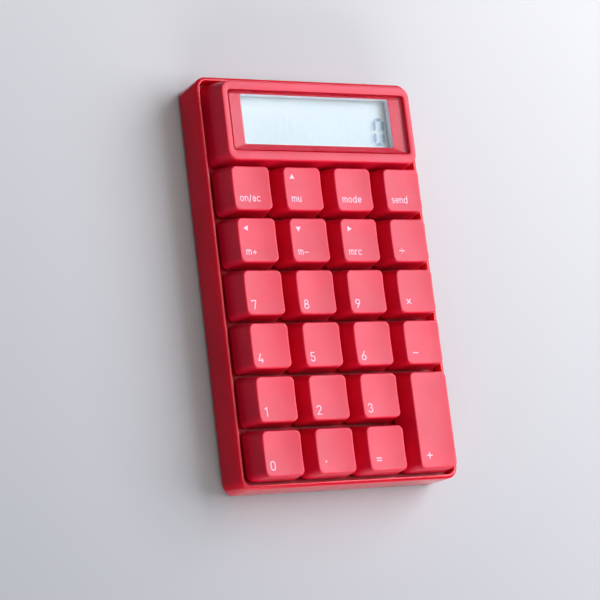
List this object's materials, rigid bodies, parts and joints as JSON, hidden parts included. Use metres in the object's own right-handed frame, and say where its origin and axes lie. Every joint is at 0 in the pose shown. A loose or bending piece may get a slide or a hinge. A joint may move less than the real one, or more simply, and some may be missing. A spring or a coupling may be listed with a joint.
{
  "type": "pocket calculator",
  "caption": "Calculator and numeric keypad: tray case with full-size raised keys and a raised block for the liquid-crystal display.",
  "frame": {"origin": "under the middle of the case, on the surface that the feet stand on", "axes": "+X to the user's right, +Y towards the display end, +Z out of the keys"},
  "size_m": [0.0812, 0.138, 0.0233],
  "materials": {
    "case_gloss": "glossy moulded ABS",
    "plate_red": "moulded ABS",
    "key_satin": "satin moulded ABS with printed legends",
    "display_satin": "satin moulded ABS",
    "lens_clear": "clear acrylic window, polished",
    "lcd": "reflective liquid-crystal panel",
    "inner_black": "black plastic",
    "flex_amber": "amber film",
    "board_green": "solder mask",
    "dome_rubber": "translucent grey silicone rubber",
    "foot_rubber": "matt rubber",
    "socket_steel": "plated steel",
    "cell_steel": "nickel-plated steel",
    "contact_brass": "sprung brass",
    "screw_steel": "zinc-plated steel"
  },
  "bodies": {
    "case": {"rear_case": "case_gloss", "key_plate": "plate_red", "display_housing": "display_satin", "display_lens": "lens_clear", "lcd_panel": "lcd", "lcd_holder": "inner_black", "battery_holder": "inner_black", "controller_chip": "inner_black", "lcd_flex": "flex_amber", "main_board": "board_green", "dome_sheet": "dome_rubber", "foot_1": "foot_rubber", "foot_2": "foot_rubber", "foot_3": "foot_rubber", "foot_4": "foot_rubber", "usb_socket": "socket_steel", "crystal": "socket_steel", "coin_cell": "cell_steel", "battery_contact_negative": "contact_brass", "battery_contact_positive": "contact_brass", "case_screw_1": "screw_steel", "case_screw_2": "screw_steel", "case_screw_3": "screw_steel", "case_screw_4": "screw_steel", "case_screw_5": "screw_steel", "case_screw_6": "screw_steel", "block_screw_1": "screw_steel", "block_screw_2": "screw_steel"},
    "key_on": {"key_on": "key_satin"},
    "key_mu": {"key_mu": "key_satin"},
    "key_mode": {"key_mode": "key_satin"},
    "key_send": {"key_send": "key_satin"},
    "key_memory_add": {"key_memory_add": "key_satin"},
    "key_memory_subtract": {"key_memory_subtract": "key_satin"},
    "key_memory_recall": {"key_memory_recall": "key_satin"},
    "key_divide": {"key_divide": "key_satin"},
    "key_7": {"key_7": "key_satin"},
    "key_8": {"key_8": "key_satin"},
    "key_9": {"key_9": "key_satin"},
    "key_multiply": {"key_multiply": "key_satin"},
    "key_4": {"key_4": "key_satin"},
    "key_5": {"key_5": "key_satin"},
    "key_6": {"key_6": "key_satin"},
    "key_subtract": {"key_subtract": "key_satin"},
    "key_1": {"key_1": "key_satin"},
    "key_2": {"key_2": "key_satin"},
    "key_3": {"key_3": "key_satin"},
    "key_add": {"key_add": "key_satin"},
    "key_0": {"key_0": "key_satin"},
    "key_point": {"key_point": "key_satin"},
    "key_equals": {"key_equals": "key_satin"},
    "add_key_wire": {"add_key_wire": "socket_steel"},
    "battery_cover": {"battery_cover": "case_gloss"}
  },
  "joints": [
    {"name": "key_on_press", "type": "slide", "parent": "case", "child": "key_on", "axis": [0, 0, -1], "range_m": [0, 0.002], "stiffness_N_per_m": 200, "springref_m": -0.001, "deforming": ["dome_sheet"]},
    {"name": "key_mu_press", "type": "slide", "parent": "case", "child": "key_mu", "axis": [0, 0, -1], "range_m": [0, 0.002], "stiffness_N_per_m": 200, "springref_m": -0.001, "deforming": ["dome_sheet"]},
    {"name": "key_mode_press", "type": "slide", "parent": "case", "child": "key_mode", "axis": [0, 0, -1], "range_m": [0, 0.002], "stiffness_N_per_m": 200, "springref_m": -0.001, "deforming": ["dome_sheet"]},
    {"name": "key_send_press", "type": "slide", "parent": "case", "child": "key_send", "axis": [0, 0, -1], "range_m": [0, 0.002], "stiffness_N_per_m": 200, "springref_m": -0.001, "deforming": ["dome_sheet"]},
    {"name": "key_memory_add_press", "type": "slide", "parent": "case", "child": "key_memory_add", "axis": [0, 0, -1], "range_m": [0, 0.002], "stiffness_N_per_m": 200, "springref_m": -0.001, "deforming": ["dome_sheet"]},
    {"name": "key_memory_subtract_press", "type": "slide", "parent": "case", "child": "key_memory_subtract", "axis": [0, 0, -1], "range_m": [0, 0.002], "stiffness_N_per_m": 200, "springref_m": -0.001, "deforming": ["dome_sheet"]},
    {"name": "key_memory_recall_press", "type": "slide", "parent": "case", "child": "key_memory_recall", "axis": [0, 0, -1], "range_m": [0, 0.002], "stiffness_N_per_m": 200, "springref_m": -0.001, "deforming": ["dome_sheet"]},
    {"name": "key_divide_press", "type": "slide", "parent": "case", "child": "key_divide", "axis": [0, 0, -1], "range_m": [0, 0.002], "stiffness_N_per_m": 200, "springref_m": -0.001, "deforming": ["dome_sheet"]},
    {"name": "key_7_press", "type": "slide", "parent": "case", "child": "key_7", "axis": [0, 0, -1], "range_m": [0, 0.002], "stiffness_N_per_m": 200, "springref_m": -0.001, "deforming": ["dome_sheet"]},
    {"name": "key_8_press", "type": "slide", "parent": "case", "child": "key_8", "axis": [0, 0, -1], "range_m": [0, 0.002], "stiffness_N_per_m": 200, "springref_m": -0.001, "deforming": ["dome_sheet"]},
    {"name": "key_9_press", "type": "slide", "parent": "case", "child": "key_9", "axis": [0, 0, -1], "range_m": [0, 0.002], "stiffness_N_per_m": 200, "springref_m": -0.001, "deforming": ["dome_sheet"]},
    {"name": "key_multiply_press", "type": "slide", "parent": "case", "child": "key_multiply", "axis": [0, 0, -1], "range_m": [0, 0.002], "stiffness_N_per_m": 200, "springref_m": -0.001, "deforming": ["dome_sheet"]},
    {"name": "key_4_press", "type": "slide", "parent": "case", "child": "key_4", "axis": [0, 0, -1], "range_m": [0, 0.002], "stiffness_N_per_m": 200, "springref_m": -0.001, "deforming": ["dome_sheet"]},
    {"name": "key_5_press", "type": "slide", "parent": "case", "child": "key_5", "axis": [0, 0, -1], "range_m": [0, 0.002], "stiffness_N_per_m": 200, "springref_m": -0.001, "deforming": ["dome_sheet"]},
    {"name": "key_6_press", "type": "slide", "parent": "case", "child": "key_6", "axis": [0, 0, -1], "range_m": [0, 0.002], "stiffness_N_per_m": 200, "springref_m": -0.001, "deforming": ["dome_sheet"]},
    {"name": "key_subtract_press", "type": "slide", "parent": "case", "child": "key_subtract", "axis": [0, 0, -1], "range_m": [0, 0.002], "stiffness_N_per_m": 200, "springref_m": -0.001, "deforming": ["dome_sheet"]},
    {"name": "key_1_press", "type": "slide", "parent": "case", "child": "key_1", "axis": [0, 0, -1], "range_m": [0, 0.002], "stiffness_N_per_m": 200, "springref_m": -0.001, "deforming": ["dome_sheet"]},
    {"name": "key_2_press", "type": "slide", "parent": "case", "child": "key_2", "axis": [0, 0, -1], "range_m": [0, 0.002], "stiffness_N_per_m": 200, "springref_m": -0.001, "deforming": ["dome_sheet"]},
    {"name": "key_3_press", "type": "slide", "parent": "case", "child": "key_3", "axis": [0, 0, -1], "range_m": [0, 0.002], "stiffness_N_per_m": 200, "springref_m": -0.001, "deforming": ["dome_sheet"]},
    {"name": "key_add_press", "type": "slide", "parent": "case", "child": "key_add", "axis": [0, 0, -1], "range_m": [0, 0.002], "stiffness_N_per_m": 200, "springref_m": -0.001, "deforming": ["dome_sheet"]},
    {"name": "key_0_press", "type": "slide", "parent": "case", "child": "key_0", "axis": [0, 0, -1], "range_m": [0, 0.002], "stiffness_N_per_m": 200, "springref_m": -0.001, "deforming": ["dome_sheet"]},
    {"name": "key_point_press", "type": "slide", "parent": "case", "child": "key_point", "axis": [0, 0, -1], "range_m": [0, 0.002], "stiffness_N_per_m": 200, "springref_m": -0.001, "deforming": ["dome_sheet"]},
    {"name": "key_equals_press", "type": "slide", "parent": "case", "child": "key_equals", "axis": [0, 0, -1], "range_m": [0, 0.002], "stiffness_N_per_m": 200, "springref_m": -0.001, "deforming": ["dome_sheet"]},
    {"name": "add_key_wire_swing", "type": "hinge", "parent": "case", "child": "add_key_wire", "pos_m": [0.034, -0.04956, 0.0128], "axis": [0, -1, 0], "range_deg": [0, 27.7]},
    {"name": "battery_cover_turn", "type": "hinge", "parent": "case", "child": "battery_cover", "pos_m": [0.018, 0.0515, 0.001], "axis": [0, 0, -1], "range_deg": [0, 60]}
  ],
  "couplings": [
    {"joint": "add_key_wire_swing", "follows": "key_add_press", "rad_per_m": 240.85}
  ]
}
